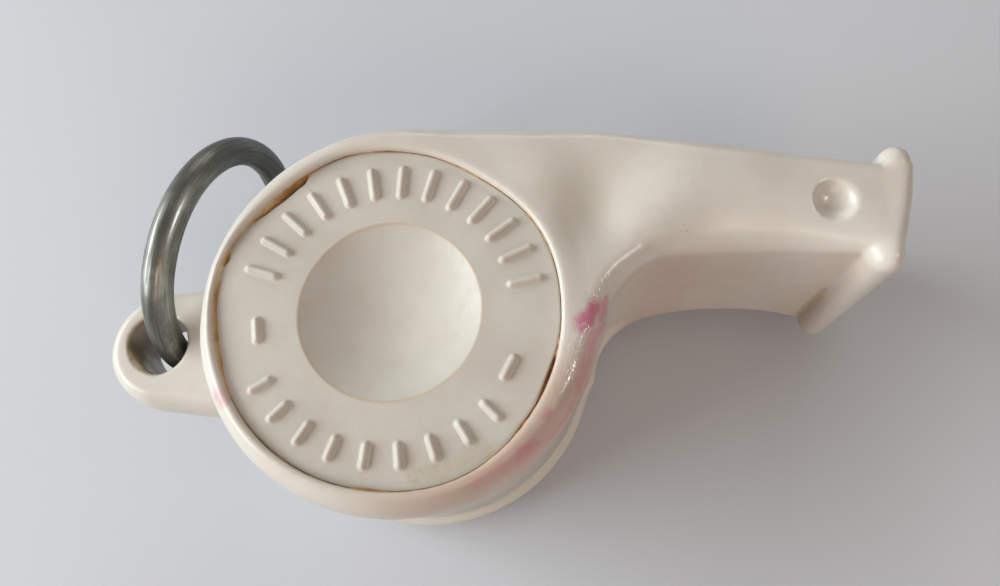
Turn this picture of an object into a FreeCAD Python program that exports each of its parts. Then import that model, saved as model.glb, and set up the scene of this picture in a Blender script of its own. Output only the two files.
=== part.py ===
import FreeCAD, Part
import math
import os

# A pea whistle that lies on its side. Millimetres.
# The drum's axis is Z, its lower rim is at z = 0, and the mouthpiece points along +X.

V = FreeCAD.Vector
UP = V(0, 0, 1)

# Drum shell
DRUM_WIDTH = 22.3
DRUM_RADIUS = 14.0
WAIST_RADIUS = 13.45          # outer wall between the two rim beads
BEAD_HEIGHT = 3.4
BEAD_SLOPE = 0.8
RIM_ROUND = 1.3               # how far a rim's rounding reaches in towards the bore
RIM_ROUND_HEIGHT = 2.2
BORE_CENTRE = (-0.3, -0.4)    # the bore sits a little off the drum's outer circle
BORE_RADIUS = 12.0            # seat of a side disc
CHAMBER_RADIUS = 11.0

# Side discs
DISC_RADIUS = 11.76
DISC_THICKNESS = 3.0
DISC_RECESS = 0.6             # disc face below the rim
DISH_RADIUS = 6.3
DISH_DEPTH = 1.8

# Raised ornament on a disc: plain bars in a ring round the dish
BAR_RISE = 0.35
BAR_WIDTH = 0.55
LONG_BARS = 13
LONG_BAR_INNER = 8.2
LONG_BAR_LENGTH = 2.5
LONG_BAR_START = 14.0         # degrees, counted the way the drum turns
LONG_BAR_STEP = 12.6
SHORT_BARS = 9
SHORT_BAR_INNER = 8.9
SHORT_BAR_LENGTH = 1.8
SHORT_BAR_START = 214.0
SHORT_BAR_STEP = 13.0
DASH_RADIUS = 9.1
DASH_LENGTH = 1.9
DASH_ANGLES = (191.0, 336.0)

# Cement line round a disc
CEMENT_INNER = 11.77
CEMENT_OUTER = 11.99
CEMENT_DEPTH = 1.2

# Mouthpiece. Each section across it is a trapezium, wider at its roof than at its underside:
# x, underside, roof, side face below the rims at the roof, the same at the underside
NECK_SECTIONS = (
    (3.0, 3.0, 13.9, 0.7, 2.0),
    (12.0, 5.1, 13.9, 0.8, 1.9),
    (22.0, 5.3, 13.3, 1.4, 3.0),
    (29.0, 5.6, 12.6, 1.8, 2.8),
    (33.6, 5.2, 12.0, 1.6, 2.1),
)
NECK_ROUND = 1.2
THROAT_TOP = 5.1              # where the hollow curve meets the underside
THROAT_RADIUS = 6.0
THROAT_INSET = 1.5
THROAT_ROOT_X = 9.0
LIP_OUTLINE = ((32.8, 13.3), (36.15, 13.2), (35.1, 3.9), (32.1, 3.9))
LIP_INSET = 1.3
LIP_ROUND = 0.95
DIMPLE_CENTRE = (30.3, 8.85)
DIMPLE_RADIUS = 1.55
DIMPLE_DEPTH = 0.9
DIMPLE_INSET = 2.15

# Air way and window
WINDWAY_START = 4.4
WINDWAY_END = 37.0            # past the tip, so that the cut is open
WINDWAY_FLOOR = 8.6
WINDWAY_ROOF = 11.0
WINDWAY_WALL = 4.3            # from the rim plane in to the air way's side
WINDOW_START = 3.4
WINDOW_END = 9.4
WINDOW_DEPTH = 6.0
WINDOW_ABOVE = 16.0           # past the roof
EDGE_RAMP = 4.2               # length of the slope down to the sounding edge
EDGE_RAMP_TOP = 14.1
EDGE_THICKNESS = 0.25

# Lug and ring
LUG_CENTRE = (-19.85, -1.6)
LUG_RADIUS = 4.75
LUG_HOLE_CENTRE = (-20.35, -1.5)
LUG_HOLE_RADIUS = 2.4
LUG_THICKNESS = 5.6
LUG_ROUND = 1.5
LUG_ROOT_HALF = 5.6
LUG_ROOT_X = -10.8            # inside the drum wall
RING_RADIUS = 9.2
WIRE_RADIUS = 1.2
RING_CENTRE = (-17.3, 7.07, 10.5)
RING_NORMAL = (0.971, -0.232, 0.052)

# Pea
PEA_RADIUS = 4.5
PEA_ORBIT = 6.15
PEA_ANGLE = 230.0
PEA_GAP = 0.3


def polar(radius, degrees):
    angle = math.radians(degrees)
    return radius * math.cos(angle), radius * math.sin(angle)


def cylinder(radius, low, high, x=0.0, y=0.0):
    return Part.makeCylinder(radius, high - low, V(x, y, low), UP)


def box(x0, x1, y0, y1, z0, z1):
    return Part.makeBox(x1 - x0, y1 - y0, z1 - z0, V(x0, y0, z0))


def arc(start, middle, end):
    return Part.Arc(V(*start), V(*middle), V(*end)).toShape()


def line(start, end):
    return Part.makeLine(V(*start), V(*end))


def rounded_outline(corners, radius):
    """Closed wire round `corners`, with each corner rounded to `radius`."""
    edges = []
    starts = []
    ends = []
    for i, corner in enumerate(corners):
        before = (corners[i - 1] - corner).normalize()
        after = (corners[(i + 1) % len(corners)] - corner).normalize()
        half = before.getAngle(after) / 2
        reach = radius / math.tan(half)
        centre = corner + (before + after).normalize() * (radius / math.sin(half))
        start = corner + before * reach
        end = corner + after * reach
        middle = centre + (corner - centre).normalize() * radius
        edges.append(Part.Arc(start, middle, end).toShape())
        starts.append(start)
        ends.append(end)
    for i in range(len(corners)):
        edges.append(Part.makeLine(ends[i - 1], starts[i]))
    return Part.Wire(Part.__sortEdges__(edges))


def drum_blank():
    """Solid drum with a rounded bead at each rim and a slightly sunk waist between them."""
    half = DRUM_WIDTH / 2
    flat = DRUM_RADIUS - RIM_ROUND
    round_x = flat + RIM_ROUND * math.sqrt(0.5)
    round_z = RIM_ROUND_HEIGHT * (1 - math.sqrt(0.5))
    edges = [
        line((0, 0, 0), (flat, 0, 0)),
        arc((flat, 0, 0), (round_x, 0, round_z), (DRUM_RADIUS, 0, RIM_ROUND_HEIGHT)),
        line((DRUM_RADIUS, 0, RIM_ROUND_HEIGHT), (DRUM_RADIUS, 0, BEAD_HEIGHT)),
        line((DRUM_RADIUS, 0, BEAD_HEIGHT), (WAIST_RADIUS, 0, BEAD_HEIGHT + BEAD_SLOPE)),
        line((WAIST_RADIUS, 0, BEAD_HEIGHT + BEAD_SLOPE), (WAIST_RADIUS, 0, half)),
        line((WAIST_RADIUS, 0, half), (0, 0, half)),
        line((0, 0, half), (0, 0, 0)),
    ]
    lower = Part.Face(Part.Wire(edges)).revolve(V(0, 0, 0), UP, 360)
    upper = lower.mirror(V(0, 0, half), UP)
    return lower.fuse(upper)


def neck():
    """Mouthpiece, lofted through its sections."""
    wires = []
    for x, bottom, roof, roof_inset, bottom_inset in NECK_SECTIONS:
        corners = [
            V(x, roof, roof_inset),
            V(x, roof, DRUM_WIDTH - roof_inset),
            V(x, bottom, DRUM_WIDTH - bottom_inset),
            V(x, bottom, bottom_inset),
        ]
        wires.append(rounded_outline(corners, NECK_ROUND))
    return Part.makeLoft(wires, True, False)


def throat():
    """Web that fills the corner between the drum wall and the underside with a hollow curve."""
    centre_y = THROAT_TOP - THROAT_RADIUS
    centre_x = math.sqrt((DRUM_RADIUS + THROAT_RADIUS) ** 2 - centre_y ** 2)
    reach = WAIST_RADIUS / (DRUM_RADIUS + THROAT_RADIUS)
    low = THROAT_INSET
    foot = (centre_x * reach, centre_y * reach, low)
    bend = (centre_x - THROAT_RADIUS * math.sqrt(0.5), centre_y + THROAT_RADIUS * math.sqrt(0.5), low)
    end = (centre_x, THROAT_TOP, low)
    inner = (THROAT_ROOT_X, THROAT_TOP, low)
    edges = [arc(end, bend, foot), line(foot, inner), line(inner, end)]
    return Part.Face(Part.Wire(edges)).extrude(V(0, 0, DRUM_WIDTH - 2 * low))


def lips():
    """Flange that stands out along the upper and lower edge of the tip."""
    corners = [V(x, y, LIP_INSET) for x, y in LIP_OUTLINE]
    block = Part.Face(rounded_outline(corners, LIP_ROUND)).extrude(V(0, 0, DRUM_WIDTH - 2 * LIP_INSET))
    rims = [e for e in block.Edges if abs(e.tangentAt(e.FirstParameter).z) < 0.5]
    return block.makeFillet(LIP_ROUND - 0.1, rims)


def lug():
    """Rounded loop that widens into the drum wall."""
    x, y = LUG_CENTRE
    low = DRUM_WIDTH / 2 - LUG_THICKNESS / 2
    half = LUG_ROOT_HALF
    lean = math.degrees(math.atan2(half - LUG_RADIUS, LUG_ROOT_X - x))
    dx, dy = polar(LUG_RADIUS, 90 + lean)
    top_root = (LUG_ROOT_X, y + half, low)
    top_end = (x + dx, y + dy, low)
    tip = (x - LUG_RADIUS, y, low)
    low_end = (x + dx, y - dy, low)
    low_root = (LUG_ROOT_X, y - half, low)
    edges = [
        line(top_root, top_end),
        arc(top_end, tip, low_end),
        line(low_end, low_root),
        line(low_root, top_root),
    ]
    loop = Part.Face(Part.Wire(edges)).extrude(V(0, 0, LUG_THICKNESS))
    level = [e for e in loop.Edges if abs(e.tangentAt(e.FirstParameter).z) < 0.5]
    rims = [e for e in level if e.CenterOfMass.x < LUG_ROOT_X - 0.5]
    return loop.makeFillet(LUG_ROUND, rims)


def windway():
    """Flat air way from the tip to the chamber."""
    wall = WINDWAY_WALL
    return box(WINDWAY_START, WINDWAY_END, WINDWAY_FLOOR, WINDWAY_ROOF, wall, DRUM_WIDTH - wall)


def window():
    """Slot in the roof over the end of the air way, with a slope down to its sounding edge."""
    low = WINDWAY_WALL
    chamber_y = BORE_CENTRE[1] + math.sqrt(CHAMBER_RADIUS ** 2 - (WINDOW_START - BORE_CENTRE[0]) ** 2)
    corners = [
        (WINDOW_START, WINDOW_DEPTH),
        (WINDOW_END, WINDOW_DEPTH),
        (WINDOW_END, WINDOW_ABOVE),
        (WINDOW_START - EDGE_RAMP, WINDOW_ABOVE),
        (WINDOW_START - EDGE_RAMP, EDGE_RAMP_TOP),
        (WINDOW_START, chamber_y + EDGE_THICKNESS),
    ]
    outline = Part.makePolygon([V(px, py, low) for px, py in corners + corners[:1]])
    return Part.Face(outline).extrude(V(0, 0, DRUM_WIDTH - 2 * WINDWAY_WALL))


def dent(x, y, surface, outward, radius, depth):
    """Ball that cuts a shallow round dent into a face at height `surface`."""
    ball = (radius ** 2 + depth ** 2) / (2 * depth)
    return Part.makeSphere(ball, V(x, y, surface + outward * (ball - depth)))


def whistle_body():
    shell = drum_blank().fuse([neck(), throat(), lips(), lug()])
    step = DISC_RECESS + DISC_THICKNESS
    cuts = [
        cylinder(BORE_RADIUS, -1, step, *BORE_CENTRE),
        cylinder(BORE_RADIUS, DRUM_WIDTH - step, DRUM_WIDTH + 1, *BORE_CENTRE),
        cylinder(CHAMBER_RADIUS, step - 1, DRUM_WIDTH - step + 1, *BORE_CENTRE),
        cylinder(LUG_HOLE_RADIUS, 0, DRUM_WIDTH, *LUG_HOLE_CENTRE),
        windway(),
        window(),
        dent(*DIMPLE_CENTRE, DRUM_WIDTH - DIMPLE_INSET, 1, DIMPLE_RADIUS, DIMPLE_DEPTH),
        dent(*DIMPLE_CENTRE, DIMPLE_INSET, -1, DIMPLE_RADIUS, DIMPLE_DEPTH),
    ]
    for cut in cuts:
        shell = shell.cut(cut)
    return shell.removeSplitter()


def bar(inner, length, width, degrees, base):
    """Plain bar with round ends that points away from the drum's axis."""
    half = width / 2
    near = cylinder(half, base, base + BAR_RISE, inner + half, 0)
    far = cylinder(half, base, base + BAR_RISE, inner + length - half, 0)
    middle = box(inner + half, inner + length - half, -half, half, base, base + BAR_RISE)
    shape = near.fuse(far).fuse(middle).removeSplitter()
    shape.rotate(V(0, 0, 0), UP, degrees)
    return shape


def dash(degrees, base):
    """Bar that lies along the ring instead of across it."""
    shape = bar(-DASH_LENGTH / 2, DASH_LENGTH, BAR_WIDTH, 90, base)
    shape.translate(V(DASH_RADIUS, 0, 0))
    shape.rotate(V(0, 0, 0), UP, degrees)
    return shape


def front_disc():
    """Side plate with a thumb dish and a ring of plain raised bars."""
    face = DRUM_WIDTH - DISC_RECESS
    base = face - 0.2
    plate = cylinder(DISC_RADIUS, face - DISC_THICKNESS, face)
    plate = plate.cut(dent(0, 0, face, 1, DISH_RADIUS, DISH_DEPTH))
    rise = []
    for i in range(LONG_BARS):
        degrees = LONG_BAR_START + i * LONG_BAR_STEP
        rise.append(bar(LONG_BAR_INNER, LONG_BAR_LENGTH, BAR_WIDTH, degrees, base))
    for i in range(SHORT_BARS):
        degrees = SHORT_BAR_START + i * SHORT_BAR_STEP
        rise.append(bar(SHORT_BAR_INNER, SHORT_BAR_LENGTH, BAR_WIDTH, degrees, base))
    for degrees in DASH_ANGLES:
        rise.append(dash(degrees, base))
    return plate.fuse(rise).removeSplitter()


def front_cement_bead():
    face = DRUM_WIDTH - DISC_RECESS
    outer = cylinder(CEMENT_OUTER, face - CEMENT_DEPTH, face)
    return outer.cut(cylinder(CEMENT_INNER, face - CEMENT_DEPTH - 1, face + 1))


def in_bore(shape):
    """Move a piece built round Z to the bore's own axis."""
    shape.translate(V(*BORE_CENTRE, 0))
    return shape


def rear(shape):
    """The same piece on the other side of the drum, turned half way round."""
    copy = shape.copy()
    copy.rotate(V(*BORE_CENTRE, DRUM_WIDTH / 2), V(1, 0, 0), 180)
    return copy


def cork_pea():
    floor = DISC_RECESS + DISC_THICKNESS
    x, y = polar(PEA_ORBIT, PEA_ANGLE)
    return Part.makeSphere(PEA_RADIUS, V(x, y, floor + PEA_GAP + PEA_RADIUS))


def wire_ring():
    return Part.makeTorus(RING_RADIUS, WIRE_RADIUS, V(*RING_CENTRE), V(*RING_NORMAL))


def main():
    os.makedirs("parts", exist_ok=True)
    disc = in_bore(front_disc())
    cement = in_bore(front_cement_bead())
    nodes = {
        "whistle_body": whistle_body(),
        "front_disc": disc,
        "rear_disc": rear(disc),
        "front_cement_bead": cement,
        "rear_cement_bead": rear(cement),
        "cork_pea": in_bore(cork_pea()),
        "wire_ring": wire_ring(),
    }
    for name, shape in nodes.items():
        shape.Solids[0].exportStep("parts/" + name + ".step")
        print(name, len(shape.Solids), "solid, volume", round(shape.Volume, 1))


main()
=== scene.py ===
import bmesh
import bpy
import math
import numpy as np
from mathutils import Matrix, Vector, noise


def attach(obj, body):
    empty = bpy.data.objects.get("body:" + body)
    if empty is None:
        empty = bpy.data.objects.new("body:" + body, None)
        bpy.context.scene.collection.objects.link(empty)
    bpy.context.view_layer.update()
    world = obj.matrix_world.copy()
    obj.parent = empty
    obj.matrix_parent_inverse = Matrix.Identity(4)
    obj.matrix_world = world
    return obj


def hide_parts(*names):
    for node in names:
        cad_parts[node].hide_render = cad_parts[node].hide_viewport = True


# A pea whistle that lies on its side, with its drum's axis along Z and its mouthpiece towards +X.
# Shapes are worked out in millimetres and made in metres. "Depth" is measured inward from the nearer
# rim plane of the drum, so one formula serves both sides of the whistle.

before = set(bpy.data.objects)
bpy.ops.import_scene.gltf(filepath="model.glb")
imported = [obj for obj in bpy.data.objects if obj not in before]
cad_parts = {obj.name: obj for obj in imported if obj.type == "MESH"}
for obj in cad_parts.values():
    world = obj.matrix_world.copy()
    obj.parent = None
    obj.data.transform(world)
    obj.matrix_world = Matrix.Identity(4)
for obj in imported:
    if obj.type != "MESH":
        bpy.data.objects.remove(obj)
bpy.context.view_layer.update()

MM = 0.001

# Drum shell
DRUM_WIDTH = 22.3
MIDDLE = DRUM_WIDTH / 2
DRUM_RADIUS = 14.0
WAIST_DEPTH = 0.6
BEAD_ROUND = 1.6              # rounding of a rim bead, measured across the rim
BEAD_ROUND_DEPTH = 2.9        # the same, measured along the drum's axis
BORE_CENTRE = (-0.3, -0.4)
SEAT_DEPTH = 3.6
CHAMBER_RADIUS = 11.0
SHRINK = 0.03                 # how far the skin lies inside the nominal surface
RIPPLE = 0.012                # height of the moulding's slight waviness
HOLLOW_ROUND = 0.28           # rounding where a hollow opens in the surface

# Mouthpiece: x and y along its roof and underside, then x and depth of its side face at three heights
ROOF = ((0, 14.0), (6, 13.97), (12, 13.93), (18, 13.58), (23, 13.27), (29, 12.63), (34, 11.95))
UNDERSIDE = ((10, 5.1), (20, 5.1), (24, 5.6), (28, 5.7), (31, 5.5), (34, 5.2))
ROOF_DEPTH = ((5, 0.4), (8, 0.4), (12, 0.7), (18, 1.0), (24, 1.6), (30, 1.8), (34, 1.6))
MIDDLE_DEPTH = ((8, 0.15), (10.5, 0.15), (14, 0.62), (17.5, 0.74), (21, 0.68), (25, 0.95), (30, 1.55),
                (34, 1.95))
UNDERSIDE_DEPTH = ((9, 0.25), (11.5, 0.25), (14, 0.65), (16, 1.3), (18, 2.2), (21, 2.9), (25, 3.1),
                   (30, 2.8), (34, 1.8))
HOLLOW = ((13.5, 7.2), 2.3, 3.0, 0.6)             # centre, size across, size along, depth
SWELL = ((17.7, 5.9), 2.3, 3.6, -0.6)
SWELL_LEAN = 62.0             # direction along the hollow and the swell, in degrees
TIP = ((3.8, 34.05), (5.3, 34.75), (8.0, 35.5), (10.2, 35.9), (12.2, 35.92), (13.3, 35.6))
LIPS = ((34.72, 12.25, 1.15), (33.55, 5.15, 1.25))  # x, y and radius of the lips along the tip
LIP_FILLET = 0.3
MOUTHPIECE_ROUND = 1.15
THROAT_RADIUS = 6.0
THROAT_CENTRE = (20.5, -0.9)
THROAT_RISE = 0.52            # how far the throat's foot stands out from the drum
DIMPLE_CENTRE = (30.2, 8.7)
DIMPLE_RADIUS = 1.62
DIMPLE_DEPTH = 1.0
DIMPLE_FACE = 1.55            # depth of the side face round the dimple
DIMPLE_ROUND = 0.1

# Air way and window
WINDWAY_START = 4.4
WINDWAY_FLOOR = 8.6
WINDWAY_ROOF = 11.0
WINDWAY_HALF = 6.85
WINDOW_START = 3.4
WINDOW_END = 9.4
EDGE_HEIGHT = 10.21
RAMP_LENGTH = 4.2
RAMP_TOP = 14.1

# Lug and its hole
LUG_CENTRE = (-19.85, -1.6)
LUG_RADIUS = 4.75
LUG_ROOT = (-10.8, -1.3)
LUG_ROOT_HALF = 5.7
LUG_HALF = 2.8
LUG_ROUND = 1.2
LUG_ROUND_DEPTH = 2.3
LUG_FILLET = 1.3
HOLE_CENTRE = (-20.35, -1.5)
HOLE_RADIUS = 2.4
HOLE_FLAT = 1.85              # distance of the worn flat from the hole's centre

# Side discs and the cement round them
DISC_RECESS = 0.6
DISC_THICKNESS = 3.0
DISH_RADIUS = 6.3
DISH_DEPTH = 1.8
BAR_RISE = 0.35
BAR_WIDTH = 0.55
LONG_BARS = (13, 14.0, 12.6, 8.2, 2.5)      # count, first angle, step, inner radius, length
SHORT_BARS = (9, 214.0, 13.0, 8.9, 1.8)
DASHES = (191.0, 336.0)
DASH_RADIUS = 9.1
DASH_LENGTH = 1.9

# Ring and pea
RING_RADIUS = 9.2
WIRE_RADIUS = 1.2
RING_CENTRE = (-17.3, 7.07, 10.5)
RING_NORMAL = (0.971, -0.232, 0.052)
PEA_RADIUS = 4.5
PEA_ORBIT = 6.15
PEA_ANGLE = 230.0
PEA_GAP = 0.3

GRID_STEP = 0.24


# ---------------------------------------------------------------- shape arithmetic

def smooth(low, high, value):
    """0 up to low, 1 from high on, and an even bend between them."""
    t = np.clip((value - low) / (high - low), 0, 1)
    return t * t * (3 - 2 * t)


def bump(offset, width):
    return np.exp(-(offset / width) ** 2)


def turn(angle, centre):
    """Degrees from centre to angle, the short way round."""
    return (angle - centre + 180) % 360 - 180


def lerp(first, second, share):
    return first + (second - first) * share


def curve(points, x):
    """Smooth curve y(x) through a few points."""
    px, py = np.array(points, float).T
    slope = np.gradient(py, px)
    i = np.clip(np.searchsorted(px, x) - 1, 0, len(px) - 2)
    width = px[i + 1] - px[i]
    t = np.clip((x - px[i]) / width, 0, 1)
    level = lerp(py[i], py[i + 1], t * t * (3 - 2 * t))
    return level + width * (slope[i] * t * (1 - t) ** 2 - slope[i + 1] * t * t * (1 - t))


def meet(a, b, radius):
    """Inside both shapes, with the edge between them rounded."""
    corner = np.hypot(np.maximum(a + radius, 0), np.maximum(b + radius, 0))
    return np.minimum(-radius, np.maximum(a, b)) + corner


def join(a, b, radius):
    """Inside either shape, with a hollow fillet between them."""
    corner = np.hypot(np.maximum(radius - a, 0), np.maximum(radius - b, 0))
    return np.maximum(radius, np.minimum(a, b)) - corner


def crown(outside, depth, across, down):
    """Inside an outline and below its top face, with an elliptical edge between the two."""
    u = np.maximum(outside + across, 0) / across
    v = np.maximum(down - depth, 0) / down
    q = np.hypot(u, v)
    slope = np.hypot(u / across, v / down)
    rounded = (q - 1) * q / np.maximum(slope, 1e-9)
    return np.where(q > 0, rounded, np.maximum(outside, -depth))


# ---------------------------------------------------------------- the moulded shell

def seat_radius(angle):
    """Radius of the bore at the side disc: hand cut, so it isn't quite round."""
    radius = 11.9 + 0.6 * bump(turn(angle, 166), 22) - 0.5 * bump(turn(angle, 58), 22)
    radius += 0.34 * bump(turn(angle, 113), 16) + 0.34 * bump(turn(angle, 298), 24)
    return radius - 0.26 * bump(turn(angle, 5), 26)


def outline(x, y, depth):
    """Plan of drum, throat and mouthpiece: below 0 inside."""
    angle = np.degrees(np.arctan2(y, x))
    foot = math.degrees(math.atan2(THROAT_CENTRE[1], THROAT_CENTRE[0]))
    waist = WAIST_DEPTH * smooth(3.3, 3.9, depth) * (1 - smooth(15.0, 18.5, x))
    rise = THROAT_RISE * bump(np.minimum(angle - foot, 0), 5) * (1 - smooth(30, 60, angle))
    drum = np.hypot(x, y) - DRUM_RADIUS - rise + waist
    neck = np.maximum(y - curve(ROOF, x), curve(UNDERSIDE, x) - y)
    neck = np.maximum(neck, np.maximum(-x, x - curve(TIP, y)))
    for lip_x, lip_y, lip_radius in LIPS:
        neck = join(neck, np.hypot(x - lip_x, y - lip_y) - lip_radius, LIP_FILLET)
    throat = THROAT_RADIUS + waist - np.hypot(x - THROAT_CENTRE[0], y - THROAT_CENTRE[1])
    below = THROAT_CENTRE[1] / THROAT_CENTRE[0] * x - y
    throat = np.maximum(np.maximum(throat, below), np.maximum(y - 12, x - THROAT_CENTRE[0]))
    throat = np.maximum(throat, 9 - x)
    return np.minimum(np.minimum(drum, throat), neck)


def side_face(x, y):
    """Depth of the side face, and how much of it applies: all on the mouthpiece, none on the drum."""
    radius = np.hypot(x, y)
    angle = np.degrees(np.arctan2(y, x))
    beside = smooth(-25, 12, angle) * (1 - smooth(68, 100, angle))
    along = np.hypot(x, 0.5 * y)
    low = curve(UNDERSIDE, x)
    height = np.clip((y - low) / (curve(ROOF, x) - low), 0, 1)
    face = curve(UNDERSIDE_DEPTH, along) * (1 - height) * (1 - 2 * height)
    face += curve(MIDDLE_DEPTH, along) * 4 * height * (1 - height)
    face += curve(ROOF_DEPTH, along) * height * (2 * height - 1)
    for centre, wide, long, sunk in (HOLLOW, SWELL):
        lean = math.radians(SWELL_LEAN)
        u = (x - centre[0]) * math.cos(lean) + (y - centre[1]) * math.sin(lean)
        v = (y - centre[1]) * math.cos(lean) - (x - centre[0]) * math.sin(lean)
        face += sunk * bump(u, long) * bump(v, wide)
    return face * beside * smooth(9.8, 13.4, radius), smooth(12.0, 19.0, radius) * beside


def blank(x, y, depth):
    """Drum, throat and mouthpiece without their hollows."""
    face, away = side_face(x, y)
    across = lerp(BEAD_ROUND, MOUTHPIECE_ROUND, away)
    down = lerp(BEAD_ROUND_DEPTH, MOUTHPIECE_ROUND, away)
    return crown(outline(x, y, depth), depth - face, across, down)


def lug(x, y, z):
    along = np.clip((x - LUG_CENTRE[0]) / (LUG_ROOT[0] - LUG_CENTRE[0]), 0, 1)
    middle_x = lerp(LUG_CENTRE[0], LUG_ROOT[0], along)
    middle_y = lerp(LUG_CENTRE[1], LUG_ROOT[1], along)
    side = np.hypot(x - middle_x, y - middle_y) - lerp(LUG_RADIUS, LUG_ROOT_HALF, along)
    return crown(side, LUG_HALF - np.abs(z - MIDDLE), LUG_ROUND, LUG_ROUND_DEPTH)


def lug_hole(x, y):
    """Round hole with one side worn flat."""
    dx = x - HOLE_CENTRE[0]
    dy = y - HOLE_CENTRE[1]
    flat = -(dx + dy) * math.sqrt(0.5) - HOLE_FLAT
    return meet(np.hypot(dx, dy) - HOLE_RADIUS, flat, 0.5)


def hollows(x, y, z, depth):
    """Disc seats, chamber, air way, window and lug hole."""
    bore_x = x - BORE_CENTRE[0]
    bore_y = y - BORE_CENTRE[1]
    radius = np.hypot(bore_x, bore_y)
    angle = np.degrees(np.arctan2(bore_y, bore_x))
    seat = np.maximum(radius - seat_radius(angle), depth - SEAT_DEPTH)
    within = np.abs(z - MIDDLE) - WINDWAY_HALF
    flat = np.maximum(WINDWAY_FLOOR - y, y - WINDWAY_ROOF)
    windway = np.maximum(np.maximum(flat, WINDWAY_START - x), within)
    ramp = EDGE_HEIGHT + (RAMP_TOP - EDGE_HEIGHT) * (WINDOW_START - x) / RAMP_LENGTH
    slope = np.minimum(WINDOW_START - x, (ramp - y) * 0.73)
    window = np.maximum(np.maximum(x - WINDOW_END, 6 - y), np.maximum(slope, within))
    inner = np.minimum(np.minimum(seat, radius - CHAMBER_RADIUS), np.minimum(windway, window))
    return np.minimum(inner, lug_hole(x, y) + 0 * z)


def dimple(x, y, depth):
    ball = (DIMPLE_RADIUS ** 2 + DIMPLE_DEPTH ** 2) / (2 * DIMPLE_DEPTH)
    centre = DIMPLE_FACE + DIMPLE_DEPTH - ball
    flat = np.hypot(x - DIMPLE_CENTRE[0], y - DIMPLE_CENTRE[1])
    return np.hypot(flat, depth - centre) - ball


def shell(points):
    """Distance from the whistle's surface, below 0 inside the plastic."""
    x, y, z = points.T
    depth = MIDDLE - np.abs(z - MIDDLE)
    solid = join(blank(x, y, depth), lug(x, y, z), LUG_FILLET)
    ripple = np.sin(0.9 * x + 1.3) * np.sin(1.1 * y + 0.4 * z) + np.sin(0.5 * x - 0.8 * y + 2)
    solid = solid + RIPPLE * ripple + SHRINK
    solid = meet(solid, -dimple(x, y, depth), DIMPLE_ROUND)
    return meet(solid, -hollows(x, y, z, depth), HOLLOW_ROUND)


def surface_net(distance, low, high, step):
    """Points and four-sided faces of the surface where distance is 0: one point per grid cell crossed."""
    axes = [np.arange(a, b + step, step) for a, b in zip(low, high)]
    grid = np.stack(np.meshgrid(*axes, indexing="ij"), -1)
    shape = np.array(grid.shape[:3])
    value = np.concatenate([distance(slab.reshape(-1, 3)) for slab in grid]).reshape(shape)
    stride = np.array((shape[1] * shape[2], shape[2], 1))
    spots = []
    quads = []
    for axis in range(3):
        side, other = (axis + 1) % 3, (axis + 2) % 3
        start = np.moveaxis(value, axis, 0)[:-1]
        end = np.moveaxis(value, axis, 0)[1:]
        found = np.argwhere((start < 0) != (end < 0))
        order = [axis] + [i for i in range(3) if i != axis]
        cell = np.empty_like(found)
        cell[:, order] = found
        a = start[tuple(found.T)]
        b = end[tuple(found.T)]
        place = cell.astype(float)
        place[:, axis] += a / (a - b)
        corner = cell @ stride
        aside = corner - stride[side]
        around = np.stack([corner, aside, aside - stride[other], corner - stride[other]], 1)
        around[a > 0] = around[a > 0][:, ::-1]
        spots.append(np.repeat(place, 4, 0))
        quads.append(around)
    spots = np.concatenate(spots)
    quads = np.concatenate(quads)
    index = np.unique(quads.ravel(), return_inverse=True)[1]
    count = np.bincount(index)
    points = np.stack([np.bincount(index, spots[:, i]) / count for i in range(3)], 1)
    return points * step + np.array(low), index.reshape(-1, 4)


def settle(points, distance, rounds):
    """Move points onto the surface, along the slope of distance."""
    tiny = 0.01
    for _ in range(rounds):
        value = distance(points)
        slope = np.empty_like(points)
        for i in range(3):
            nudge = np.zeros(3)
            nudge[i] = tiny
            slope[:, i] = (distance(points + nudge) - distance(points - nudge)) / (2 * tiny)
        size = np.maximum((slope ** 2).sum(1), 0.2)
        move = slope * (value / size)[:, None]
        points = points - np.clip(move, -0.15, 0.15)
    return points


# ---------------------------------------------------------------- mesh making

def make_object(name, points, faces):
    """Smooth-shaded mesh object from points in millimetres."""
    mesh = bpy.data.meshes.new(name)
    mesh.from_pydata((np.asarray(points) * MM).tolist(), [], [list(f) for f in faces])
    mesh.validate()
    work = bmesh.new()
    work.from_mesh(mesh)
    bmesh.ops.recalc_face_normals(work, faces=work.faces)
    work.to_mesh(mesh)
    work.free()
    mesh.shade_smooth()
    made = bpy.data.objects.new(name, mesh)
    bpy.context.scene.collection.objects.link(made)
    return made


def caps(rings, count):
    """Faces that close the first and the last ring."""
    return [tuple(range(count)), tuple(range((rings - 1) * count, rings * count))]


def ring_faces(rings, count, loop):
    """Faces between neighbouring rings of count points; loop joins the last ring to the first."""
    faces = []
    for i in range(rings if loop else rings - 1):
        a = i * count
        b = (i + 1) % rings * count
        for j in range(count):
            k = (j + 1) % count
            faces.append((a + j, b + j, b + k, a + k))
    return faces


def build_shell():
    low = (-25.2, -14.6, -0.5)
    high = (36.2, 14.9, DRUM_WIDTH + 0.5)
    points, faces = surface_net(shell, low, high, GRID_STEP)
    return make_object("whistle_shell", settle(points, shell, 4), faces.tolist())


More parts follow.
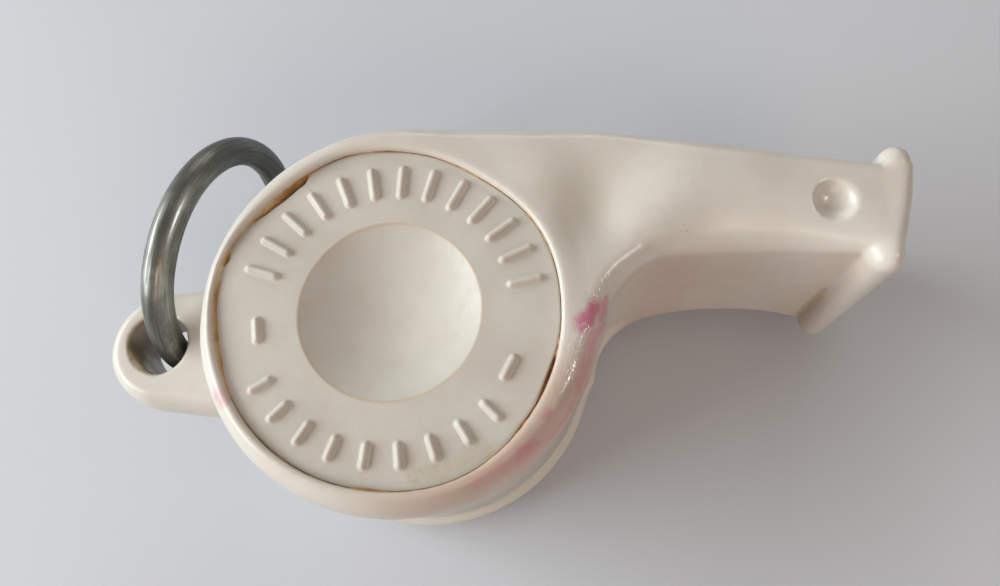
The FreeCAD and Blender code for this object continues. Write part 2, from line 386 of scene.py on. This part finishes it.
def chip(angle):
    """How far the disc's broken edge falls short of its seat."""
    gap = 0.5 * smooth(123, 128, angle) * (1 - smooth(134, 154, angle))
    gap += 0.14 * bump(turn(angle, 144), 5) + 0.3 * bump(turn(angle, 164.5), 2.8)
    gap += 0.2 * smooth(169, 173, angle) * (1 - smooth(198, 208, angle))
    gap += 0.24 * bump(turn(angle, 339), 9) + 0.10 * bump(turn(angle, 322), 5)
    gap += 0.10 * bump(turn(angle, 269), 5)
    ragged = 0.03 * np.sin(angle * 0.31) * np.sin(angle * 0.17 + 1) + 0.004 * np.sin(angle * 1.1)
    return gap * (1 + 3 * ragged) + 0.25 * np.abs(ragged)


def disc_edge(angle):
    return seat_radius(angle) - 0.05 - chip(angle)


def bar_height(x, y, degrees, inner, length, across):
    """Height of one plain raised bar at points of the disc face."""
    a = math.radians(degrees)
    radial = x * math.cos(a) + y * math.sin(a)
    sideways = -x * math.sin(a) + y * math.cos(a)
    if across:
        radial, sideways = sideways + length / 2, radial - inner
        inner = 0
    half = BAR_WIDTH / 2
    beyond = radial - np.clip(radial, inner + half, inner + length - half)
    edge = np.hypot(beyond, sideways) - half
    return BAR_RISE * (1 - smooth(-0.2, 0.08, edge))


def disc_height(x, y):
    """Height of the disc face: thumb dish, raised bars and slight waviness."""
    radius = np.hypot(x, y)
    ball = (DISH_RADIUS ** 2 + DISH_DEPTH ** 2) / (2 * DISH_DEPTH)
    dish = np.sqrt(ball ** 2 - np.minimum(radius, DISH_RADIUS) ** 2) - (ball - DISH_DEPTH)
    height = 0.02 * np.sin(0.6 * x + 1) * np.sin(0.7 * y) - dish
    for count, first, step, inner, length in (LONG_BARS, SHORT_BARS):
        for i in range(count):
            height = height + bar_height(x, y, first + i * step, inner, length, False)
    for degrees in DASHES:
        height = height + bar_height(x, y, degrees, DASH_RADIUS, DASH_LENGTH, True)
    return height


def build_disc(name, front):
    """Side disc as rings of points: over the face, down the edge and back across the inside."""
    count = 720
    angle = np.arange(count) * 360 / count
    across = np.cos(np.radians(angle))
    up = np.sin(np.radians(angle))
    edge = disc_edge(angle)
    dish = np.linspace(0, DISH_RADIUS - 0.08, 22)
    band = np.arange(DISH_RADIUS, 11.01, 0.1)
    rings = []
    for radius in np.concatenate([dish, band]):
        wide = np.full(count, max(radius, 0.1))
        rings.append((wide, disc_height(wide * across, wide * up)))
    for share, drop in ((0.35, 0), (0.7, 0), (0.93, 0.0), (0.98, 0.03), (1.0, 0.12)):
        wide = lerp(11.0, edge, share)
        rings.append((wide, disc_height(wide * across, wide * up) - drop))
    for drop in (0.5, 1.2, 2.2, DISC_THICKNESS - 0.1):
        rings.append((np.minimum(edge, 11.9), np.full(count, -drop)))
    for share in (0.99, 0.8, 0.6, 0.4, 0.2, 0.01):
        rings.append((np.minimum(edge, 11.9) * share, np.full(count, -DISC_THICKNESS)))
    points = []
    for wide, height in rings:
        z = DRUM_WIDTH - DISC_RECESS + height
        points.append(np.stack([wide * across + BORE_CENTRE[0], wide * up + BORE_CENTRE[1], z], 1))
    points = np.concatenate(points)
    made = make_object(name, points, ring_faces(len(rings), count, False) + caps(len(rings), count))
    return made if front else turn_over(made)


def turn_over(made):
    """Turn a front piece half way round the X line through the drum's middle, to serve at the rear."""
    for v in made.data.vertices:
        v.co.y = 2 * BORE_CENTRE[1] * MM - v.co.y
        v.co.z = DRUM_WIDTH * MM - v.co.z
    made.data.update()
    return made


def build_cement(name, front):
    """Thin uneven bead of old cement in the gap round a disc, drawn up the bore wall by its own skin."""
    count = 900
    angle = np.arange(count) * 360 / count
    inner = disc_edge(angle) - 0.03
    outer = seat_radius(angle) + 0.03
    gap = smooth(0.18, 0.45, outer - inner)
    wave = 0.06 * np.sin(angle * 0.31) * np.sin(angle * 0.13 + 2) + 0.03 * np.sin(angle * 1.3)
    profile = ((0, 0.66, 0.1), (0.3, 0.66, 0.8), (0.6, 0.62, 0.7), (0.85, 0.55, 0.1), (1, 0.45, -0.05),
               (1, 2.6, 0), (0, 2.6, 0))
    rings = []
    for share, depth, extra in profile:
        wide = lerp(inner, outer, share)
        sunk = depth + extra * gap + (wave if depth < 2 else 0)
        x = wide * np.cos(np.radians(angle)) + BORE_CENTRE[0]
        y = wide * np.sin(np.radians(angle)) + BORE_CENTRE[1]
        rings.append(np.stack([x, y, DRUM_WIDTH - sunk], 1))
    made = make_object(name, np.concatenate(rings), ring_faces(len(rings), count, True))
    return made if front else turn_over(made)


def build_ring():
    """Wire ring with slightly uneven bends and a fine seam where the wire's ends meet."""
    steps = 300
    sides = 36
    normal = Vector(RING_NORMAL).normalized()
    first = normal.cross(Vector((0, 0, 1))).normalized()
    second = normal.cross(first)
    lowest = steps // 4 if second.z < 0 else steps * 3 // 4
    points = []
    for i in range(steps):
        a = 2 * math.pi * i / steps
        out = first * math.cos(a) + second * math.sin(a)
        seam = math.exp(-((i - lowest) / 0.9) ** 2)
        middle = Vector(RING_CENTRE) + out * (RING_RADIUS + 0.03 * math.sin(3 * a + 1))
        for j in range(sides):
            b = 2 * math.pi * j / sides
            radius = WIRE_RADIUS - 0.04 - 0.28 * seam + 0.008 * math.sin(5 * b + 7 * a)
            points.append(middle + (out * math.cos(b) + normal * math.sin(b)) * radius)
    return make_object("steel_ring", [tuple(p) for p in points], ring_faces(steps, sides, True))


def build_pea():
    """Cork ball with pits and a pressed, slightly lumpy surface."""
    centre_x = BORE_CENTRE[0] + PEA_ORBIT * math.cos(math.radians(PEA_ANGLE))
    centre_y = BORE_CENTRE[1] + PEA_ORBIT * math.sin(math.radians(PEA_ANGLE))
    centre = Vector((centre_x, centre_y, DISC_RECESS + DISC_THICKNESS + PEA_GAP + PEA_RADIUS))
    rings = 90
    count = 140
    points = []
    for i in range(rings):
        lift = math.pi * (i + 0.5) / rings
        for j in range(count):
            a = 2 * math.pi * j / count
            out = Vector((math.sin(lift) * math.cos(a), math.sin(lift) * math.sin(a), math.cos(lift)))
            lump = 0.10 * noise.noise(out * 2.5)
            pit = max(0.0, noise.noise(out * 9) - 0.18) * 0.55
            fine = 0.03 * noise.noise(out * 26)
            points.append(tuple(centre + out * (PEA_RADIUS - 0.12 + lump - pit + fine)))
    return make_object("cork_ball", points, ring_faces(rings, count, False) + caps(rings, count))


# ---------------------------------------------------------------- materials

class Paint:
    """One material's node tree, built a step at a time. Lengths are in millimetres."""

    def __init__(self, name):
        self.material = bpy.data.materials.new(name)
        self.material.use_nodes = True
        self.tree = self.material.node_tree
        self.shader = self.tree.nodes["Principled BSDF"]
        where = self.tree.nodes.new("ShaderNodeTexCoord").outputs["Object"]
        self.place = self.vector("SCALE", where, scale=1 / MM)

    def feed(self, socket, value):
        if isinstance(value, bpy.types.NodeSocket):
            self.tree.links.new(value, socket)
        elif isinstance(value, tuple) and len(value) == 3 and socket.type == "RGBA":
            socket.default_value = (*value, 1)
        else:
            socket.default_value = value

    def vector(self, operation, first, second=None, scale=None):
        node = self.tree.nodes.new("ShaderNodeVectorMath")
        node.operation = operation
        self.feed(node.inputs[0], first)
        if second is not None:
            self.feed(node.inputs[1], second)
        if scale is not None:
            self.feed(node.inputs["Scale"], scale)
        number = operation in ("DISTANCE", "DOT_PRODUCT", "LENGTH")
        return node.outputs["Value" if number else "Vector"]

    def math(self, operation, first, second=0.0, clamp=False):
        node = self.tree.nodes.new("ShaderNodeMath")
        node.operation = operation
        node.use_clamp = clamp
        self.feed(node.inputs[0], first)
        self.feed(node.inputs[1], second)
        return node.outputs[0]

    def remap(self, value, low, high, to_low=0.0, to_high=1.0):
        """Value from low to high becomes to_low to to_high, smoothly and clamped."""
        node = self.tree.nodes.new("ShaderNodeMapRange")
        node.interpolation_type = "SMOOTHSTEP"
        self.feed(node.inputs["Value"], value)
        self.feed(node.inputs["From Min"], low)
        self.feed(node.inputs["From Max"], high)
        self.feed(node.inputs["To Min"], to_low)
        self.feed(node.inputs["To Max"], to_high)
        return node.outputs["Result"]

    def blend(self, share, first, second):
        node = self.tree.nodes.new("ShaderNodeMix")
        node.data_type = "RGBA"
        self.feed(node.inputs["Factor"], share)
        self.feed(node.inputs[6], first)
        self.feed(node.inputs[7], second)
        return node.outputs[2]

    def noise(self, size, detail=3.0, roughness=0.5, stretch=(1, 1, 1), place=None):
        """Cloudy pattern from 0 to 1, whose lumps are about size millimetres."""
        node = self.tree.nodes.new("ShaderNodeTexNoise")
        scaled = self.vector("MULTIPLY", place or self.place, tuple(s / size for s in stretch))
        self.feed(node.inputs["Vector"], scaled)
        self.feed(node.inputs["Scale"], 1.0)
        self.feed(node.inputs["Detail"], detail)
        self.feed(node.inputs["Roughness"], roughness)
        return node.outputs["Fac"]

    def cells(self, size):
        """Distance from the nearest of scattered points, which are about size millimetres apart."""
        node = self.tree.nodes.new("ShaderNodeTexVoronoi")
        self.feed(node.inputs["Vector"], self.vector("SCALE", self.place, scale=1 / size))
        self.feed(node.inputs["Scale"], 1.0)
        return node.outputs["Distance"]

    def loose(self, amount, size):
        """The place, shaken by noise, so that a patch's edge comes out ragged."""
        node = self.tree.nodes.new("ShaderNodeTexNoise")
        self.feed(node.inputs["Vector"], self.vector("SCALE", self.place, scale=1 / size))
        self.feed(node.inputs["Scale"], 1.0)
        self.feed(node.inputs["Detail"], 3.0)
        shift = self.vector("SUBTRACT", node.outputs["Color"], (0.5, 0.5, 0.5))
        return self.vector("ADD", self.place, self.vector("SCALE", shift, scale=amount))

    def stroke(self, start, end, half, fade, place=None):
        """1 within half a width of the line from start to end, and 0 beyond the fade."""
        place = place or self.place
        run = Vector(end) - Vector(start)
        offset = self.vector("SUBTRACT", place, tuple(start))
        along = self.vector("DOT_PRODUCT", offset, tuple(run / max(run.length_squared, 1e-9)))
        along = self.math("ADD", along, 0.0, clamp=True)
        reach = self.vector("SCALE", tuple(run), scale=along)
        gap = self.vector("DISTANCE", offset, reach)
        return self.remap(gap, half, half + fade, 1.0, 0.0)

    def combine(self, x, y, z):
        node = self.tree.nodes.new("ShaderNodeCombineXYZ")
        for socket, value in zip(node.inputs, (x, y, z)):
            self.feed(socket, value)
        return node.outputs[0]

    def along(self, axis):
        return self.vector("DOT_PRODUCT", self.place, axis)

    def circle(self, centre, radius, half, fade, place=None):
        """1 near a circle round an axis along Z through centre, and 0 beyond the fade."""
        offset = self.vector("SUBTRACT", place or self.place, (*centre, 0))
        flat = self.vector("LENGTH", self.vector("MULTIPLY", offset, (1, 1, 0)))
        gap = self.math("ABSOLUTE", self.math("SUBTRACT", flat, radius))
        return self.remap(gap, half, half + fade, 1.0, 0.0)

    def times(self, *values):
        result = values[0]
        for value in values[1:]:
            result = self.math("MULTIPLY", result, value)
        return result

    def most(self, values):
        top = values[0]
        for value in values[1:]:
            top = self.math("MAXIMUM", top, value)
        return top

    def finish(self, colour, roughness, height=None, height_mm=0.02, **fixed):
        self.feed(self.shader.inputs["Base Color"], colour)
        self.feed(self.shader.inputs["Roughness"], roughness)
        if height is not None:
            node = self.tree.nodes.new("ShaderNodeBump")
            self.feed(node.inputs["Height"], height)
            self.feed(node.inputs["Strength"], 1.0)
            self.feed(node.inputs["Distance"], height_mm * MM)
            self.tree.links.new(node.outputs["Normal"], self.shader.inputs["Normal"])
        for name, value in fixed.items():
            self.shader.inputs[name.replace("_", " ")].default_value = value
        return self.material


PINK_STAINS = (               # start, end, half width, fade, strength
    ((12.8, -1.1, 22.1), (13.7, 0.2, 21.8), 0.2, 0.8, 0.85),
    ((14.3, 0.6, 20.9), (13.8, -1.2, 20.9), 0.25, 0.6, 0.6),
    ((13.6, -1.6, 21.2), (12.6, -5.0, 21.2), 0.2, 0.8, 0.5),
    ((12.2, -6.3, 20.9), (10.9, -8.6, 20.9), 0.1, 0.5, 0.35),
    ((10.6, -6.9, 22.1), (10.4, -7.2, 22.1), 0.1, 0.4, 0.5),
    ((9.9, -9.3, 21.9), (9.1, -10.1, 21.9), 0.3, 0.7, 0.5),
    ((9.1, -10.1, 21.9), (6.4, -11.7, 21.9), 0.1, 0.9, 0.25),
    ((-11.0, -6.6, 21.8), (-10.6, -7.1, 21.8), 0.2, 0.6, 0.4),
)
CREST = (                     # along the crest of the bead, from the throat down
    (14.6, 2.2, 21.2), (13.4, 0.5, 21.9), (12.8, -1.7, 22.1), (12.3, -3.4, 22.1), (11.5, -5.8, 22.1),
)


def ivory_shell():
    paint = Paint("ivory_plastic")
    broad = paint.noise(9, 3)
    fine = paint.noise(1.6, 4, 0.6)
    colour = paint.blend(paint.remap(broad, 0.35, 0.65), (0.605, 0.57, 0.50), (0.655, 0.63, 0.565))
    colour = paint.blend(paint.remap(fine, 0.5, 0.8, 0, 0.3), colour, (0.58, 0.51, 0.43))
    loose = paint.loose(0.9, 1.1)

    # grime and painted shade: the underside, the drum's lower side and the lug's hole (partly grime, partly
    # painted shade), the waist (painted shade), smudges on the neck
    x, y, z = (paint.along(axis) for axis in ((1, 0, 0), (0, 1, 0), (0, 0, 1)))
    # underside of the mouthpiece tinted darker and warmer: partly grime, partly painted shade
    underside_dirt_and_shade = paint.times(paint.remap(y, 4.4, 6.4, 1, 0), paint.remap(z, 18.4, 20.2, 1, 0))
    underside_dirt_and_shade = paint.times(underside_dirt_and_shade, paint.remap(x, 13.5, 21.0), paint.remap(x, 31.8, 33.4, 1, 0.05))
    colour = paint.blend(paint.times(underside_dirt_and_shade, 0.6), colour, (0.53, 0.34, 0.26))
    lower = paint.times(paint.remap(y, -6, -1, 1, 0), paint.remap(x, -4, 6))
    # near bead's lower side tinted darker and browner: partly grime, partly painted shade
    bead = paint.times(lower, paint.remap(z, 17.5, 18.8, 0, 0.72))
    colour = paint.blend(bead, colour, (0.49, 0.36, 0.28))
    # painted shade: the waist band below the near bead is tinted grey as if in shadow
    waist = paint.times(lower, paint.remap(z, 4.0, 5.0), paint.remap(z, 6.0, 17.6, 0.8, 0))
    colour = paint.blend(waist, colour, (0.42, 0.40, 0.355))
    # inside of the lug's hole painted dark brown: partly dirt, partly painted shade
    hole = paint.circle(HOLE_CENTRE, 0, HOLE_RADIUS - 0.1, 0.3)
    hole = paint.times(hole, paint.remap(fine, 0.3, 0.6, 0.7, 0.95))
    colour = paint.blend(hole, colour, (0.20, 0.135, 0.06))
    grime = paint.remap(paint.noise(0.5, 3, 0.6), 0.45, 0.7)
    smudge = paint.times(paint.stroke((20.0, 10.9, 21), (22.6, 10.9, 21), 0.05, 0.6, loose), grime)
    colour = paint.blend(paint.times(smudge, 0.6), colour, (0.36, 0.27, 0.19))
    specks = paint.times(paint.remap(paint.cells(1.7), 0.045, 0.075, 1, 0), paint.remap(fine, 0.5, 0.56))
    colour = paint.blend(paint.times(specks, 0.35), colour, (0.24, 0.17, 0.11))
    root = paint.stroke((32.2, 5.4, 11), (32.2, 5.4, 4), 0.05, 0.5, loose)
    colour = paint.blend(paint.times(root, 0.6), colour, (0.50, 0.33, 0.14))

    pink = []
    for start, end, half, fade, strength in PINK_STAINS:
        pink.append(paint.times(paint.stroke(start, end, half, fade, loose), strength))
    broken = paint.remap(paint.noise(0.5, 4, 0.65), 0.22, 0.52)
    stain = paint.times(paint.most(pink), broken, 0.95)
    colour = paint.blend(stain, colour, (0.56, 0.10, 0.22))
    blush = paint.stroke((13.6, -2.0, 20.5), (9.0, -9.6, 20.5), 0.5, 1.6, loose)
    colour = paint.blend(paint.times(blush, 0.35), colour, (0.62, 0.36, 0.33))

    # handling wear along the rim bead: glossier, with fine scratches
    worn = paint.most([paint.stroke(start, end, 0.3, 0.8) for start, end in zip(CREST, CREST[1:])])
    scratches = paint.remap(paint.noise(0.25, 3, 0.6, (1, 0.5, 1)), 0.42, 0.58)
    rough = paint.math("SUBTRACT", paint.remap(fine, 0.3, 0.7, 0.28, 0.40), paint.times(worn, 0.14))
    height = paint.math("ADD", paint.noise(0.8, 3), paint.times(worn, scratches, 1.2))
    return paint.finish(colour, rough, height, 0.010, Subsurface_Weight=0.12, Subsurface_Scale=0.0012)


def ivory_disc():
    paint = Paint("disc_plastic")
    broad = paint.noise(6, 3)
    fine = paint.noise(1.0, 4, 0.6)
    colour = paint.blend(paint.remap(broad, 0.35, 0.65), (0.52, 0.49, 0.425), (0.57, 0.545, 0.485))
    colour = paint.blend(paint.remap(fine, 0.5, 0.8, 0, 0.25), colour, (0.51, 0.43, 0.34))
    loose = paint.loose(0.5, 0.9)
    grime = paint.remap(paint.noise(0.6, 3, 0.6), 0.4, 0.65)
    dish_line = paint.times(paint.circle(BORE_CENTRE, DISH_RADIUS, 0.0, 0.2), paint.remap(broad, 0.35, 0.6))
    colour = paint.blend(paint.times(dish_line, 0.45), colour, (0.50, 0.35, 0.20))
    residue = paint.most([
        paint.stroke((2.3, -11.6, 21.7), (1.9, -10.2, 21.7), 0.1, 0.5, loose),
        paint.stroke((2.5, -11.3, 21.7), (4.2, -10.9, 21.7), 0.3, 0.4, loose),
        paint.stroke((4.2, -10.9, 21.7), (6.9, -9.4, 21.7), 0.15, 0.6, loose),
    ])
    residue = paint.times(residue, paint.remap(grime, 0.0, 1.0, 0.5, 1.0))
    colour = paint.blend(paint.times(residue, 0.6), colour, (0.44, 0.37, 0.26))
    rough = paint.remap(fine, 0.3, 0.7, 0.38, 0.52)
    return paint.finish(colour, rough, paint.noise(0.5, 4, 0.6), 0.015,
                        Subsurface_Weight=0.1, Subsurface_Scale=0.0012)


def old_cement():
    """Pale where the gap is wide, at the left, and brown where it is only a hairline."""
    paint = Paint("aged_cement")
    patches = paint.remap(paint.noise(1.4, 4, 0.6), 0.35, 0.65)
    brown = paint.blend(patches, (0.30, 0.13, 0.04), (0.52, 0.28, 0.11))
    pale = paint.blend(patches, (0.60, 0.37, 0.15), (0.76, 0.58, 0.33))
    left = paint.remap(paint.along((1, 0, 0)), -10.2, -7.5, 1, 0)
    colour = paint.blend(left, brown, pale)
    return paint.finish(colour, paint.remap(patches, 0.3, 0.7, 0.3, 0.6), paint.noise(0.25, 4), 0.02)


def worn_steel():
    """Dull plated wire: drawing streaks run along it, with a few specks of rust and painted shade towards
    the top.
    """
    paint = Paint("ring_steel")
    offset = paint.vector("SUBTRACT", paint.place, RING_CENTRE)
    reach = paint.vector("LENGTH", offset)
    aside = paint.vector("DOT_PRODUCT", offset, tuple(Vector(RING_NORMAL).normalized()))
    lengthwise = paint.combine(reach, aside, paint.math("MULTIPLY", paint.along((0, 1, 0)), 0.06))
    streaks = paint.noise(0.2, 3, 0.6, (1, 1, 1), lengthwise)
    cloud = paint.noise(3.5, 4, 0.6)
    colour = paint.blend(paint.remap(cloud, 0.35, 0.65), (0.17, 0.175, 0.155), (0.30, 0.31, 0.29))
    colour = paint.blend(paint.remap(streaks, 0.42, 0.62, 0, 0.6), colour, (0.085, 0.085, 0.065))
    # painted shade: the ring darkens towards its top
    painted_top_shade = paint.remap(paint.along((0, 1, 0)), 9, 14, 0, 0.65)
    colour = paint.blend(painted_top_shade, colour, (0.07, 0.075, 0.07))
    rust = paint.remap(paint.noise(0.9, 5, 0.7), 0.62, 0.7, 0, 0.8)
    colour = paint.blend(rust, colour, (0.16, 0.065, 0.025))
    rough = paint.remap(streaks, 0.3, 0.7, 0.30, 0.5)
    return paint.finish(colour, rough, streaks, 0.02, Metallic=0.88)


def pressed_cork():
    paint = Paint("cork")
    grain = paint.cells(0.9)
    cloud = paint.noise(1.6, 5, 0.65)
    colour = paint.blend(paint.remap(grain, 0.1, 0.7), (0.25, 0.12, 0.05), (0.52, 0.33, 0.18))
    colour = paint.blend(paint.remap(cloud, 0.5, 0.7, 0, 0.7), colour, (0.34, 0.19, 0.09))
    return paint.finish(colour, 0.85, paint.math("ADD", grain, cloud), 0.12)


def pale_floor():
    paint = Paint("pale_floor")
    colour = paint.blend(paint.noise(40, 3), (0.52, 0.545, 0.58), (0.55, 0.575, 0.61))
    return paint.finish(colour, 0.7, paint.noise(3, 4), 0.02)


# ---------------------------------------------------------------- the object

def place(made, material, body, slot, node):
    made.data.materials.append(material)
    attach(made, body)
    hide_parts(node)


def build_whistle():
    place(build_shell(), ivory_shell(), "whistle", "ivory_plastic", "whistle_body")
    disc = ivory_disc()
    cement = old_cement()
    for side, front in (("front", True), ("rear", False)):
        place(build_disc(side + "_side_disc", front), disc, "whistle", "disc_plastic", side + "_disc")
        bead = build_cement(side + "_cement", front)
        place(bead, cement, "whistle", "aged_cement", side + "_cement_bead")
    place(build_ring(), worn_steel(), "ring", "ring_steel", "wire_ring")
    place(build_pea(), pressed_cork(), "pea", "cork", "cork_pea")


# ---------------------------------------------------------------- floor, light and camera

def build_floor():
    bpy.ops.mesh.primitive_plane_add(size=4, location=(0, 0, 0))
    floor = bpy.context.object
    floor.name = "floor"
    floor.data.materials.append(pale_floor())


def area_light(name, location, width, height, power, colour, gloss_only=False):
    data = bpy.data.lights.new(name, "AREA")
    data.shape = "RECTANGLE"
    data.size = width
    data.size_y = height
    data.energy = power
    data.color = colour
    lamp = bpy.data.objects.new(name, data)
    lamp.location = location
    lamp.visible_diffuse = not gloss_only
    toward = Vector((0.005, 0, 0.01)) - Vector(location)
    lamp.rotation_euler = toward.to_track_quat("-Z", "Y").to_euler()
    bpy.context.scene.collection.objects.link(lamp)


def light_studio():
    area_light("key", (-0.42, -0.02, 0.22), 0.45, 0.22, 3.1, (0.92, 0.97, 1.0))
    area_light("top", (0.02, 0.44, 0.20), 0.30, 0.08, 0.4, (1.0, 0.98, 0.96))
    area_light("right", (0.27, -0.01, 0.23), 0.07, 0.05, 0.40, (1.0, 1.0, 1.0), gloss_only=True)
    area_light("front", (0.15, -0.35, 0.30), 0.3, 0.2, 0.6, (1.0, 0.78, 0.68))
    world = bpy.data.worlds.new("studio")
    world.use_nodes = True
    back = world.node_tree.nodes["Background"]
    back.inputs["Color"].default_value = (1.0, 0.90, 0.82, 1)
    back.inputs["Strength"].default_value = 0.30
    bpy.context.scene.world = world


def aim_camera():
    data = bpy.data.cameras.new("camera")
    data.lens = 28.08
    data.sensor_width = 36
    data.clip_start = 0.001
    data.clip_end = 10
    camera = bpy.data.objects.new("camera", data)
    camera.location = (0.011314, -0.01491, 0.071668)
    camera.rotation_euler = [math.radians(a) for a in (17.79835, 3.84531, 2.82981)]
    bpy.context.scene.collection.objects.link(camera)
    bpy.context.scene.camera = camera


build_whistle()
build_floor()
light_studio()
aim_camera()
bpy.context.scene.view_settings.view_transform = "Standard"
